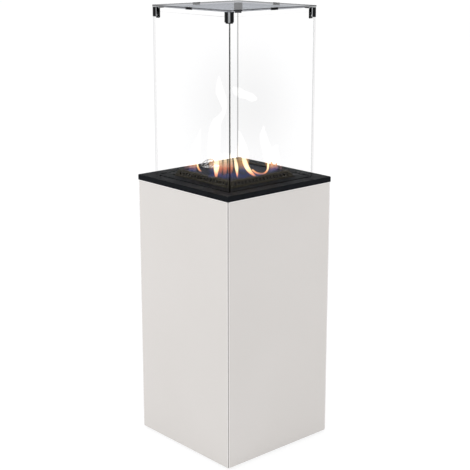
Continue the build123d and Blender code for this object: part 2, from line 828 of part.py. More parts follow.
# Feed pipe from the valve to the injector
feed_x = valve_x + valve_width / 4
feed_z = valve_z + valve_height / 8
with BuildPart() as feed_pipe:
    add(tube_along(turned_path([
        (feed_x, valve_back, feed_z), (feed_x, 0, feed_z), (0, 0, feed_z), (0, 0, injector_low)],
        feed_bend), feed_diameter))
keep(feed_pipe, "feed_pipe")


def dome_drop(distance, radius):
    """How far a spherical head falls from its top at a distance from the axis."""
    return radius - sqrt(radius ** 2 - distance ** 2)


def shell_half(inset):
    """Half section of the cylinder's shell, moved in by the wall where asked."""
    radius = cylinder_diameter / 2 - inset
    rise = head_rise
    half = radius * sqrt(0.5)
    sphere = (radius ** 2 + rise ** 2) / (2 * rise)
    low = shell_low - rise + inset
    high = shell_high + rise - inset
    low_half = (half, low + dome_drop(half, sphere))
    high_half = (half, high - dome_drop(half, sphere))
    with BuildSketch(Plane.XZ) as section:
        with BuildLine():
            ThreePointArc((0, low), low_half, (radius, shell_low + inset))
            Line((radius, shell_low + inset), (radius, shell_high - inset))
            ThreePointArc((radius, shell_high - inset), high_half, (0, high))
            Line((0, high), (0, low))
        make_face()
    return section.sketch


# Gas cylinder: welded shell with a foot ring
with BuildPart() as gas_cylinder:
    revolve(shell_half(0), axis=Axis.Z)
    ring_top = shell_low - head_rise + dome_drop(foot_ring_diameter / 2, dome_radius)
    extrude(disc(0, 0, foot_ring_diameter, floor_top, foot_ring_diameter - 2 * cylinder_wall),
            amount=ring_top - floor_top + 2 * cylinder_wall)
    revolve(shell_half(cylinder_wall), axis=Axis.Z, mode=Mode.SUBTRACT)
keep(gas_cylinder, "gas_cylinder")

# Cylinder collar: guard round the tap with a window to the door and a
# handhole on each side
collar_inner = collar_diameter / 2 - collar_wall
collar_low = shell_top - dome_drop(collar_inner, dome_radius)
with BuildPart() as cylinder_collar:
    extrude(disc(0, 0, collar_diameter, collar_low, 2 * collar_inner),
            amount=collar_top - collar_low)
    extrude(block(-collar_window / 2, collar_window / 2, 0, collar_diameter,
                  outlet_z - outlet_diameter), amount=collar_height, mode=Mode.SUBTRACT)
    with BuildSketch(Plane.YZ):
        with Locations((0, collar_top - handhole_height)):
            SlotOverall(handhole_width, handhole_height)
    extrude(amount=collar_diameter, both=True, mode=Mode.SUBTRACT)
keep(cylinder_collar, "cylinder_collar")

# Cylinder tap: brass body with its outlet and spindle
tap_top = tap_low + tap_height
with BuildPart() as cylinder_tap:
    extrude(disc(0, 0, tap_diameter, tap_low), amount=tap_height)
    extrude(rear_disc(0, outlet_z, outlet_diameter, 0), amount=-outlet_reach)
    extrude(disc(0, 0, tap_spindle, tap_top), amount=seat_gap + wheel_knob_height)
keep(cylinder_tap, "cylinder_tap")

# Tap handwheel with finger flutes
with BuildPart() as tap_handwheel:
    extrude(disc(0, 0, wheel_knob_diameter, tap_top + seat_gap,
                 tap_spindle + 2 * running_gap), amount=wheel_knob_height)
    with BuildSketch(Plane.XY.offset(tap_top + seat_gap)):
        with PolarLocations(wheel_knob_diameter / 2 + flute_out, wheel_knob_flutes):
            Circle(flute_radius)
    extrude(amount=wheel_knob_height, mode=Mode.SUBTRACT)
keep(tap_handwheel, "tap_handwheel")

# Regulator: hexagon nut on the tap's outlet, a neck and a round body
with BuildPart() as regulator:
    with BuildSketch(Plane.XZ.offset(-outlet_reach)):
        with Locations((0, outlet_z)):
            RegularPolygon(0.7 * outlet_diameter, 6)
    extrude(amount=-outlet_diameter)
    extrude(rear_disc(0, outlet_z, spigot_diameter, outlet_reach),
            amount=-(regulator_y - outlet_reach))
    extrude(disc(0, regulator_y, regulator_diameter, outlet_z - regulator_height / 2),
            amount=regulator_height)
    with BuildSketch(Plane.YZ.offset(-spigot_reach)):
        with Locations((regulator_y, outlet_z)):
            Circle(spigot_diameter / 2)
    extrude(amount=spigot_reach)
keep(regulator, "regulator")

# Gas hose from the regulator to the valve's inlet, in a loose loop between
# the cylinder and the door
inlet_low = valve_z - valve_height / 2 - inlet_drop
hose_route = [
    (-spigot_reach, regulator_y, outlet_z), (-spigot_reach - hose_lead, regulator_y, outlet_z),
    (-106, 128, 458), (-121, 134, 426), (-124, 140, 388), (-112, 146, 350), (-86, 150, 318), (-48, 153, 300),
    (-6, 154, 300), (34, 153, 318), (62, 151, 350), (75, 149, 392), (78, 147, 440),
    (78, 144, 492), (valve_x, inlet_y, inlet_low - hose_drop), (valve_x, inlet_y, inlet_low),
]
hose_radii = []
for before, corner, after in zip(hose_route, hose_route[1:], hose_route[2:]):
    run_in = Vector(*corner) - Vector(*before)
    run_out = Vector(*after) - Vector(*corner)
    turn = radians(run_in.get_angle(run_out))
    hose_radii.append(0.45 * min(run_in.length, run_out.length) / tan(turn / 2))
hose_path = turned_path(hose_route, hose_radii)
with BuildPart() as gas_hose:
    add(tube_along(hose_path, hose_diameter, hose_bore))
keep(gas_hose, "gas_hose")

# Strap rail between the front posts and the belt that holds the cylinder to it
with BuildPart() as strap_rail:
    extrude(block(-post_inner, post_inner, -post_inner, -post_inner + belt_rail, belt_level),
            amount=belt_height)
keep(strap_rail, "strap_rail")
rail_front = -post_inner + belt_rail
with BuildPart() as cylinder_strap:
    with BuildSketch(Plane.XY.offset(belt_level)) as loop:
        with BuildLine():
            CenterArc((0, 0), cylinder_diameter / 2 + belt_gap, 0, 360)
            Line((-belt_half_span, rail_front), (belt_half_span, rail_front))
        make_hull()
    inside = loop.sketch
    extrude(offset(inside, amount=belt_thickness, mode=Mode.PRIVATE), amount=belt_height,
            mode=Mode.REPLACE)
    extrude(inside, amount=belt_height, mode=Mode.SUBTRACT)
    extrude(block(-plate_side, plate_side, -plate_side, rail_front, belt_level),
            amount=belt_height, mode=Mode.SUBTRACT)
keep(cylinder_strap, "cylinder_strap")

# Service door: folded steel tray with rounded edges, vent slots high and
# low, a hole for the pull, a tab for the catch and holes for the pins
door_inner_half = door_half - door_sheet
with BuildPart() as service_door:
    extrude(block(-door_half, door_half, door_inside, door_face, door_low),
            amount=door_high - door_low)
    rounded = service_door.edges().filter_by(Axis.Z).group_by(Axis.Y)[-1]
    fillet(rounded, door_round)
    extrude(block(-door_inner_half, door_inner_half, door_inside, door_face - door_sheet,
                  door_low + door_sheet), amount=door_high - door_low - 2 * door_sheet,
            mode=Mode.SUBTRACT)
    extrude(block(door_inner_half - catch_width - catch_tab, door_inner_half, door_inside,
                  door_inside + door_sheet, pull_level - catch_height / 2), amount=catch_height)
    vent_middle = vent_margin + vent_rows * vent_pitch / 2
    with BuildSketch(Plane.XZ.offset(-door_face)):
        with Locations((0, door_low + vent_middle), (0, door_high - vent_middle)):
            with GridLocations(vent_columns, vent_pitch, 2, vent_rows):
                SlotOverall(vent_width, vent_slot)
        with Locations((door_half - pull_edge, pull_level)):
            Rectangle(pull_width, pull_length)
    extrude(amount=door_sheet, mode=Mode.SUBTRACT)
    extrude(disc(pivot_x, pivot_y, pin_diameter + 2 * running_gap, door_low),
            amount=door_high - door_low, mode=Mode.SUBTRACT)
keep(service_door, "service_door")

# Pivot pins, top and bottom, with a head inside the door
with BuildPart() as pivot_pins:
    head_low = door_low + door_sheet
    extrude(disc(pivot_x, pivot_y, pin_diameter, head_low), amount=-pin_length)
    extrude(disc(pivot_x, pivot_y, min(pin_head, 2 * (door_face - door_sheet - pivot_y)),
                 head_low), amount=pin_head_height)
    mirror(about=Plane.XY.offset((door_low + door_high) / 2))
keep(pivot_pins, "pivot_pins")

# Recessed pull in the door
with BuildPart() as door_pull:
    pull_x = door_half - pull_edge
    cup_width = pull_width - 2 * seat_gap
    cup_length = pull_length - 2 * seat_gap
    with BuildSketch(Plane.XZ.offset(-door_face)):
        with Locations((pull_x, pull_level)):
            Rectangle(cup_width, cup_length)
    extrude(amount=pull_depth)
    with BuildSketch(Plane.XZ.offset(-door_face)):
        with Locations((pull_x, pull_level)):
            Rectangle(pull_width + 2 * pull_flange, pull_length + 2 * pull_flange)
    extrude(amount=-pull_lip)
    with BuildSketch(Plane.XZ.offset(-door_face - pull_lip)):
        with Locations((pull_x, pull_level)):
            Rectangle(cup_width - 2 * pull_wall, cup_length - 2 * pull_wall)
    extrude(amount=pull_depth + pull_lip - pull_wall, mode=Mode.SUBTRACT)
keep(door_pull, "door_pull")

# Magnetic catch on the rear flange of the right post
with BuildPart() as magnet_catch:
    flange_edge = post_face - post_leg
    catch_low = pull_level - catch_height / 2
    extrude(block(flange_edge - catch_width, flange_edge, post_inner - catch_step,
                  door_inside - catch_gap, catch_low), amount=catch_height)
    extrude(block(flange_edge - catch_width, post_inner - catch_wall, post_inner - catch_step,
                  post_inner, catch_low), amount=catch_height)
keep(magnet_catch, "magnet_catch")

# Castors: plates with a bearing race, swivel forks in front, fixed forks
# behind, and four rubber wheels
with BuildPart() as castor_plates:
    for x in (-castor_place, castor_place):
        for y in (-castor_place, castor_place):
            with BuildSketch(Plane.XY.offset(plate_low)) as plate_plan:
                with Locations((x, y)):
                    Rectangle(castor_plate_side, castor_plate_side)
                fillet(plate_plan.vertices(), castor_round)
            extrude(amount=castor_plate)
            extrude(disc(x, y, race_diameter, race_low), amount=plate_low - race_low)
            extrude(disc(x, y, kingpin_diameter + 2 * running_gap, race_low),
                    amount=floor_height - race_low, mode=Mode.SUBTRACT)
keep(castor_plates, "castor_plates")

wheel_radius = wheel_diameter / 2
cheek_inside = wheel_width / 2 + fork_gap
cheek_outside = cheek_inside + fork_cheek


def fork_solids(x, y):
    """One fork with its kingpin, and its axle as a second solid."""
    axle_y = y + fork_trail
    boss = axle_diameter
    with BuildPart() as fork:
        with BuildSketch(Plane.YZ.offset(x - cheek_outside)):
            with BuildLine():
                Polyline((y - fork_length / 2, fork_top), (y + fork_length / 2, fork_top),
                         (axle_y + boss, wheel_radius + boss / 2),
                         (axle_y + boss, wheel_radius - boss), (axle_y - boss, wheel_radius - boss),
                         (y - fork_length / 2, fork_top - fork_cheek), close=True)
            make_face()
        extrude(amount=2 * cheek_outside)
        crown_low = fork_top - fork_cheek
        extrude(block(x - cheek_inside, x + cheek_inside, y - fork_length, y + 2 * fork_length, 0),
                amount=crown_low, mode=Mode.SUBTRACT)
        extrude(disc(x, y, kingpin_diameter, fork_top), amount=floor_height + seat_gap - fork_top)
        extrude(disc(x, y, kingpin_diameter + 2 * kingpin_head, floor_height + seat_gap),
                amount=kingpin_head)
        with BuildSketch(Plane.YZ.offset(x)):
            with Locations((axle_y, wheel_radius)):
                Circle(axle_diameter / 2 + running_gap)
        extrude(amount=2 * cheek_outside, both=True, mode=Mode.SUBTRACT)
    with BuildPart() as axle:
        with BuildSketch(Plane.YZ.offset(x)):
            with Locations((axle_y, wheel_radius)):
                Circle(axle_diameter / 2)
        extrude(amount=cheek_outside + axle_end, both=True)
    return fork.part, axle.part


for x, corner in ((castor_place, "right"), (-castor_place, "left")):
    with BuildPart() as swivel_fork:
        for piece in fork_solids(x, -castor_place):
            add(piece)
    keep(swivel_fork, f"swivel_fork_{corner}")
with BuildPart() as fixed_forks:
    for x in (-castor_place, castor_place):
        for piece in fork_solids(x, castor_place):
            add(piece)
keep(fixed_forks, "fixed_forks")

wheel_places = {
    "front_right": (castor_place, -castor_place),
    "front_left": (-castor_place, -castor_place),
    "rear_right": (castor_place, castor_place),
    "rear_left": (-castor_place, castor_place),
}
for corner, (x, y) in wheel_places.items():
    with BuildPart() as castor_wheel:
        with BuildSketch(Plane.YZ.offset(x)):
            with Locations((y + fork_trail, wheel_radius)):
                Circle(wheel_radius)
        extrude(amount=wheel_width / 2, both=True)
        chamfer(castor_wheel.edges().filter_by(GeomType.CIRCLE), wheel_bevel)
        with BuildSketch(Plane.YZ.offset(x)):
            with Locations((y + fork_trail, wheel_radius)):
                Circle(axle_diameter / 2 + running_gap)
        extrude(amount=wheel_width, both=True, mode=Mode.SUBTRACT)
    keep(castor_wheel, f"castor_wheel_{corner}")
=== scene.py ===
import bpy
import math
from mathutils import Matrix, Vector


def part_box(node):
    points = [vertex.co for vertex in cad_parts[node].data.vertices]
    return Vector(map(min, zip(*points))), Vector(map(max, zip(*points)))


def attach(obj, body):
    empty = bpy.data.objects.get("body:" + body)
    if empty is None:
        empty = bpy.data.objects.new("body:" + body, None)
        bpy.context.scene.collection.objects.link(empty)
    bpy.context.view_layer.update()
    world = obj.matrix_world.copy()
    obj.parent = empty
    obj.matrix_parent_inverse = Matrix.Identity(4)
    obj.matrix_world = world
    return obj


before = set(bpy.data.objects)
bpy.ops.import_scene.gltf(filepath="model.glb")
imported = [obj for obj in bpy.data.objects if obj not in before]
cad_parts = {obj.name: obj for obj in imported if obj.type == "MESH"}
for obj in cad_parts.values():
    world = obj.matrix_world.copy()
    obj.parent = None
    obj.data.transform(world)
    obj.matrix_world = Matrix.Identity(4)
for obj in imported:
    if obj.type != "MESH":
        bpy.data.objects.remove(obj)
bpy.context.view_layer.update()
MM = 0.001

# Studio
# A plain pale floor under plain soft light, seen with a long lens from the
# corner between the front and the right side. The lens was fitted to the
# edges of the column, so it keeps its place, tilt and small shift.
CAMERA_PLACE = (2.5137, -2.2382, 1.5499)
CAMERA_TURN = math.radians(48.269)
CAMERA_TILT = math.radians(14.023)
CAMERA_FOCAL_PIXELS = 1126.8
CAMERA_AXIS_ROW = 216.2
PICTURE_PIXELS = 470
SENSOR_MM = 36.0

camera_data = bpy.data.cameras.new("camera")
camera_data.sensor_width = SENSOR_MM
camera_data.lens = SENSOR_MM * CAMERA_FOCAL_PIXELS / PICTURE_PIXELS
camera_data.shift_y = (CAMERA_AXIS_ROW - PICTURE_PIXELS / 2) / PICTURE_PIXELS
camera = bpy.data.objects.new("camera", camera_data)
camera.location = CAMERA_PLACE
camera.rotation_euler = (math.pi / 2 - CAMERA_TILT, 0, CAMERA_TURN)
bpy.context.collection.objects.link(camera)
bpy.context.scene.camera = camera
bpy.context.scene.view_settings.view_transform = "Standard"


def linear(code):
    """An sRGB hex colour as a linear RGBA tuple."""
    parts = [int(code[i:i + 2], 16) / 255 for i in (1, 3, 5)]
    light = [p / 12.92 if p <= 0.04045 else ((p + 0.055) / 1.055) ** 2.4 for p in parts]
    return (*light, 1.0)


def node(tree, kind, links=None, **settings):
    """Add a shader node, set its values and sockets, and link its inputs."""
    made = tree.nodes.new(kind)
    for name, value in settings.items():
        if hasattr(made, name):
            setattr(made, name, value)
        else:
            made.inputs[name.replace("_", " ")].default_value = value
    for socket, source in (links or {}).items():
        tree.links.new(source, made.inputs[socket])
    return made


def blank_material(name):
    """An empty node material and its output node."""
    made = bpy.data.materials.new(name)
    made.use_nodes = True
    made.node_tree.nodes.clear()
    return made, made.node_tree.nodes.new("ShaderNodeOutputMaterial")


def dress(names, material):
    """Put one material on CAD nodes or new pieces, given by name or object."""
    for name in names:
        piece = bpy.data.objects[name] if isinstance(name, str) else name
        piece.data.materials.clear()
        piece.data.materials.append(material)


def plainly_seen(tree):
    """One where a camera, glossy or transmission ray arrives, else nought."""
    path = node(tree, "ShaderNodeLightPath")
    seen = node(tree, "ShaderNodeMath", {0: path.outputs["Is Camera Ray"],
                                         1: path.outputs["Is Glossy Ray"]}, operation="MAXIMUM")
    return node(tree, "ShaderNodeMath", {0: seen.outputs[0],
                                         1: path.outputs["Is Transmission Ray"]},
                operation="MAXIMUM")


BACKGROUND = linear("#FFFFFF")
DAYLIGHT = linear("#FBFBFD")
world = bpy.data.worlds.new("studio")
bpy.context.scene.world = world
world.use_nodes = True
sky = world.node_tree
sky.nodes.clear()
seen = plainly_seen(sky)
soft = node(sky, "ShaderNodeBackground", Color=DAYLIGHT, Strength=0.80)
plain = node(sky, "ShaderNodeBackground", Color=BACKGROUND, Strength=1.0)
either = node(sky, "ShaderNodeMixShader", {0: seen.outputs[0], 1: soft.outputs[0],
                                           2: plain.outputs[0]})
out = sky.nodes.new("ShaderNodeOutputWorld")
sky.links.new(either.outputs[0], out.inputs[0])

for name, place, size, power in (
        ("window_light", (-1.6, -3.4, 2.6), 2.4, 46.0),
        ("fill_light", (3.6, 1.2, 1.8), 2.4, 21.0)):
    lamp = bpy.data.lights.new(name, "AREA")
    lamp.size = size
    lamp.energy = power
    holder = bpy.data.objects.new(name, lamp)
    holder.location = place
    aim = Vector((0, 0, 0.6)) - Vector(place)
    holder.rotation_euler = aim.to_track_quat("-Z", "Y").to_euler()
    holder.visible_glossy = False
    bpy.context.collection.objects.link(holder)

FLOOR_HALF = 30.0
FLOOR_GLOW_SHARE = 0.72
bpy.ops.object.select_all(action="DESELECT")
bpy.ops.mesh.primitive_plane_add(size=2 * FLOOR_HALF, location=(0, 0, 0))
floor = bpy.context.object
floor.name = "floor"
floor_paint, out = blank_material("Floor, white studio vinyl")
tree = floor_paint.node_tree
part_seen = node(tree, "ShaderNodeMath", {0: plainly_seen(tree).outputs[0]},
                 operation="MULTIPLY")
part_seen.inputs[1].default_value = FLOOR_GLOW_SHARE
matt = node(tree, "ShaderNodeBsdfDiffuse", Color=linear("#F7F7F7"))
glow = node(tree, "ShaderNodeEmission", Color=BACKGROUND, Strength=1.14)
both = node(tree, "ShaderNodeMixShader", {0: part_seen.outputs[0], 1: matt.outputs[0],
                                          2: glow.outputs[0]})
tree.links.new(both.outputs[0], out.inputs[0])
dress([floor], floor_paint)

# Coated and bare metals, plastics and rubbers of the parts behind the cladding
# Each starts from the real finish: zinc spangle, powder coat, cast aluminium,
# brass and moulded rubber. The grain is the real one's size in millimetres.


def grained(name, low, high, grain_mm, metallic, roughness, spread, relief_mm, stretch=(1, 1, 1),
            gloss_level=0.5):
    """A surface whose colour, gloss and relief follow a grain of a real size."""
    made, out = blank_material(name)
    tree = made.node_tree
    place = node(tree, "ShaderNodeTexCoord")
    turn = node(tree, "ShaderNodeMapping", {"Vector": place.outputs["Object"]}, Scale=stretch)
    grain = node(tree, "ShaderNodeTexNoise", {"Vector": turn.outputs[0]},
                 Scale=1 / (grain_mm * MM), Detail=4.0, Roughness=0.6)
    broad = node(tree, "ShaderNodeTexNoise", {"Vector": turn.outputs[0]},
                 Scale=1 / (grain_mm * 24 * MM), Detail=2.0)
    both = node(tree, "ShaderNodeMath", {0: grain.outputs[0], 1: broad.outputs[0]}, operation="ADD")
    half = node(tree, "ShaderNodeMapRange", {"Value": both.outputs[0]})
    half.inputs["From Min"].default_value = 0.7
    half.inputs["From Max"].default_value = 1.3
    tone = node(tree, "ShaderNodeMix", {0: half.outputs[0]}, data_type="RGBA")
    tone.inputs[6].default_value = linear(low)
    tone.inputs[7].default_value = linear(high)
    gloss = node(tree, "ShaderNodeMapRange", {"Value": half.outputs[0]})
    gloss.inputs["To Min"].default_value = roughness - spread
    gloss.inputs["To Max"].default_value = roughness + spread
    relief = node(tree, "ShaderNodeBump", {"Height": grain.outputs[0]}, Strength=0.5,
                  Distance=relief_mm * MM)
    body = node(tree, "ShaderNodeBsdfPrincipled", {
        "Base Color": tone.outputs[2], "Roughness": gloss.outputs[0],
        "Normal": relief.outputs[0]}, Metallic=metallic, Specular_IOR_Level=gloss_level)
    tree.links.new(body.outputs[0], out.inputs[0])
    return made


zinc = grained("Zinc-coated sheet steel, rolled", "#A9ACAE", "#C3C5C6", 6.0, 0.9, 0.42, 0.10, 0.02)
dress(["base_pan", "corner_posts", "top_ring", "clad_tray_front", "clad_tray_right",
       "clad_tray_left", "burner_box", "heat_shield", "control_panel", "strap_rail"], zinc)
turned_steel = grained("Turned and plated steel", "#8F9294", "#B9BCBE", 1.2, 1.0, 0.30, 0.08, 0.01)
dress(["castor_plates", "swivel_fork_right", "swivel_fork_left", "fixed_forks", "pivot_pins",
       "valve_stem"], turned_steel)
tread = grained("Moulded rubber, castor tread", "#26272A", "#34363A", 2.0, 0.0, 0.72, 0.08, 0.03)
dress([f"castor_wheel_{corner}" for corner in ("front_right", "front_left", "rear_right",
                                               "rear_left")], tread)
brass = grained("Machined brass", "#B08D4B", "#C9A866", 1.5, 1.0, 0.28, 0.07, 0.01)
dress(["injector", "cylinder_tap", "feed_pipe"], brass)
casting = grained("Die-cast aluminium, tumbled", "#9DA0A3", "#B4B7B9", 1.0, 0.9, 0.46, 0.08, 0.04)
dress(["gas_valve", "regulator"], casting)
probe = grained("Heat-tinted stainless rod", "#7E6A52", "#A39A8E", 3.0, 1.0, 0.33, 0.08, 0.01)
dress(["thermocouple"], probe)
ceramic = grained("Unglazed alumina ceramic", "#E4DFD3", "#F0ECE2", 1.0, 0.0, 0.62, 0.06, 0.02)
dress(["electrode"], ceramic)
jacket = grained("Silicone cable jacket", "#6E1E18", "#832820", 1.5, 0.0, 0.55, 0.06, 0.02)
dress(["ignition_lead"], jacket)
black_moulding = grained("Black nylon, spark-eroded mould", "#1C1D1F", "#292A2C", 0.8, 0.0, 0.5,
                         0.07, 0.03)
dress(["control_knob", "igniter_body", "magnet_catch"], black_moulding)
red_moulding = grained("Red ABS moulding", "#9C1B16", "#B0241D", 1.0, 0.0, 0.32, 0.06, 0.01)
dress(["igniter_button", "tap_handwheel"], red_moulding)
bottle_paint = grained("Grey cylinder enamel", "#5C676D", "#6C777D", 1.6, 0.0, 0.36, 0.07, 0.03)
dress(["gas_cylinder", "cylinder_collar"], bottle_paint)
hose_rubber = grained("Orange gas-hose rubber", "#A8481F", "#BC5729", 1.2, 0.0, 0.6, 0.06, 0.02)
dress(["gas_hose"], hose_rubber)
webbing = grained("Black polyester webbing", "#1D1E20", "#2E3033", 1.2, 0.0, 0.8, 0.05, 0.15,
                  stretch=(1, 1, 0.3))
dress(["cylinder_strap"], webbing)
silicone = grained("Black silicone pad", "#1B1C1D", "#242526", 1.0, 0.0, 0.6, 0.05, 0.02)
dress(["glass_pads"], silicone)

# Cladding
# Toughened glass sheets, painted cream on the back and glossy in front, on the
# front, right and left side. The rear surround and the door are steel,
# powder-coated in the same cream. Only their finish is made here.
cream_glass, out = blank_material("Toughened glass, cream paint behind it")
tree = cream_glass.node_tree
place = node(tree, "ShaderNodeTexCoord")
waver = node(tree, "ShaderNodeTexNoise", {"Vector": place.outputs["Object"]}, Scale=1 / (260 * MM),
             Detail=1.0)
shade = node(tree, "ShaderNodeMix", {0: waver.outputs[0]}, data_type="RGBA")
shade.inputs[6].default_value = linear("#D9D5D0")
shade.inputs[7].default_value = linear("#DEDAD6")
roll = node(tree, "ShaderNodeBump", {"Height": waver.outputs[0]}, Strength=0.25, Distance=0.4 * MM)
body = node(tree, "ShaderNodeBsdfPrincipled", {"Base Color": shade.outputs[2],
                                               "Normal": roll.outputs[0]}, Roughness=0.16, IOR=1.45)
tree.links.new(body.outputs[0], out.inputs[0])
dress(["clad_glass_front", "clad_glass_right", "clad_glass_left"], cream_glass)
cream_coat = grained("Cream powder coat on steel", "#D8D3CD", "#DDD9D4", 1.4, 0.0, 0.42, 0.06, 0.03)
dress(["rear_surround", "service_door", "door_pull"], cream_coat)


def finish_piece(piece, name, material, body="root"):
    """Name a modelled piece, put its place into its mesh and let it ride a body."""
    bpy.ops.object.select_all(action="DESELECT")
    piece.select_set(True)
    bpy.context.view_layer.objects.active = piece
    bpy.ops.object.transform_apply(location=True, rotation=True, scale=True)
    piece.name = name
    dress([piece], material)
    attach(piece, body)
    return piece


def bar(middle, size, turn=0.0, ease=0.0):
    """A box bar in millimetres, turned about Z, its edges eased by a bevel."""
    bpy.ops.object.select_all(action="DESELECT")
    bpy.ops.mesh.primitive_cube_add(size=1.0, location=[v * MM for v in middle],
                                    rotation=(0, 0, turn))
    made = bpy.context.object
    made.scale = [v * MM for v in size]
    bpy.ops.object.transform_apply(location=True, rotation=True, scale=True)
    if ease:
        bpy.ops.object.mode_set(mode="EDIT")
        bpy.ops.mesh.select_all(action="SELECT")
        bpy.ops.mesh.bevel(offset=ease * MM, segments=2, affect="EDGES")
        bpy.ops.object.mode_set(mode="OBJECT")
    return made


def joined(pieces):
    """Join modelled pieces into the first of them."""
    bpy.ops.object.select_all(action="DESELECT")
    for piece in pieces:
        piece.select_set(True)
    bpy.context.view_layer.objects.active = pieces[0]
    bpy.ops.object.join()
    return pieces[0]


def copied(piece, turn, move=(0, 0, 0)):
    """A copy with its own mesh, moved and then turned about the column's axis."""
    made = piece.copy()
    made.data = piece.data.copy()
    made.location = Matrix.Rotation(turn, 3, "Z") @ Vector(move)
    made.rotation_euler.z = turn
    bpy.context.collection.objects.link(made)
    return made


def finish_round(piece, places, material):
    """Copy a piece to its turned places round the column, and finish all of them."""
    pieces = [piece] + [copied(piece, turn) for _, turn in places[1:]]
    for made, (name, _) in zip(pieces, places):
        finish_piece(made, name, material)


# Corner joints and ground edges of the cladding
# A bead of grey sealant fills the flat at each mitred corner, and the ground
# rims of the glass sheets show as thin pale lines beside it and along the top,
# pale from grinding and with a painted highlight on them. Both are slim eased bars
# laid on the sheets' borders.
glass_low, glass_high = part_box("clad_glass_front")
column = -glass_low.y / MM
foot, crown = glass_low.z / MM, glass_high.z / MM
sealant = grained("Grey silicone sealant", "#A29E9B", "#ACA8A5", 2.0, 0.0, 0.6, 0.05, 0.02)
rim_glass_highlight = grained("Ground glass rim with painted highlight", "#F1EEEB", "#F8F6F4", 1.0, 0.0, 0.34, 0.05, 0.01)
MITRE_FLAT = 1.2
BEAD_PROUD = 0.1
BEAD_DEPTH, BEAD_WIDTH = 0.6, 2.6
bead_reach = (column - MITRE_FLAT) * math.sqrt(2) + BEAD_PROUD
bead = bar((bead_reach * math.cos(math.pi / 4), bead_reach * math.sin(math.pi / 4),
            (foot + crown) / 2), (BEAD_DEPTH, BEAD_WIDTH, crown - foot - 2), math.pi / 4, 0.2)
finish_round(bead, [(f"corner_bead_{number}", number * math.pi / 2) for number in range(4)],
             sealant)
RIM_WIDTH = 2.2
RIM_FROM_CORNER = 3.6
RIM_THICKNESS = 0.3
RIM_PROUD = 0.06
rims = []
for along, wide, level, tall in (
        (-column + RIM_FROM_CORNER, RIM_WIDTH, (foot + crown) / 2, crown - foot - 1),
        (column - RIM_FROM_CORNER, RIM_WIDTH, (foot + crown) / 2, crown - foot - 1),
        (0, 2 * (column - RIM_FROM_CORNER - RIM_WIDTH / 2), crown - 1.3, RIM_WIDTH)):
    rims.append(bar((along, -column - RIM_PROUD, level), (wide, RIM_THICKNESS, tall), 0.0, 0.08))
# The pale rims are ground glass with a painted highlight on them.
finish_round(joined(rims), (("ground_rim_highlight_front", 0.0), ("ground_rim_highlight_right", math.pi / 2),
                            ("ground_rim_highlight_left", -math.pi / 2)), rim_glass_highlight)

# Top plate and burner
# The top plate is steel under satin black powder coat. The slotted burner
# frame and the deck are the same steel, dulled and blued by heat.
black_coat = grained("Satin black powder coat", "#16181A", "#1D1F22", 1.2, 0.0, 0.46, 0.06, 0.03,
                     gloss_level=0.01)
dress(["top_plate"], black_coat)
burner_coat = grained("Heat-dulled black enamel", "#2A2822", "#39352C", 3.0, 0.0, 0.55, 0.10, 0.03,
                      gloss_level=0.03)
dress(["burner_frame"], burner_coat)
blued_steel = grained("Heat-blued steel sheet", "#090D18", "#121A2C", 14.0, 0.0, 0.50, 0.10, 0.03,
                      gloss_level=0.03)
dress(["burner_deck", "burner_manifold", "mixer_tube"], blued_steel)
bright_steel = grained("Polished stainless steel", "#C9CACC", "#E6E7E8", 4.0, 1.0, 0.16, 0.06, 0.01)
dress(["pilot_hood"], bright_steel)

# Panes and lid
# Clear float glass with ground rims. A pane's flat faces tint and mirror a little,
# and a painted shade darkens them a little round the flames. Their rims darken what
# lies behind by a painted shade graded along each rim. The lid is a thicker sheet of
# grey glass. The painted shade lies thickest behind the flames, towards the corner
# between the left and the rear pane.
# Painted shade: the panes' flat faces are painted darker round this point, behind the flames.
PAINTED_SHADE_MIDDLE = (-0.100, 0.130, 1.020)
PAINTED_SHADE_REACH = 0.290


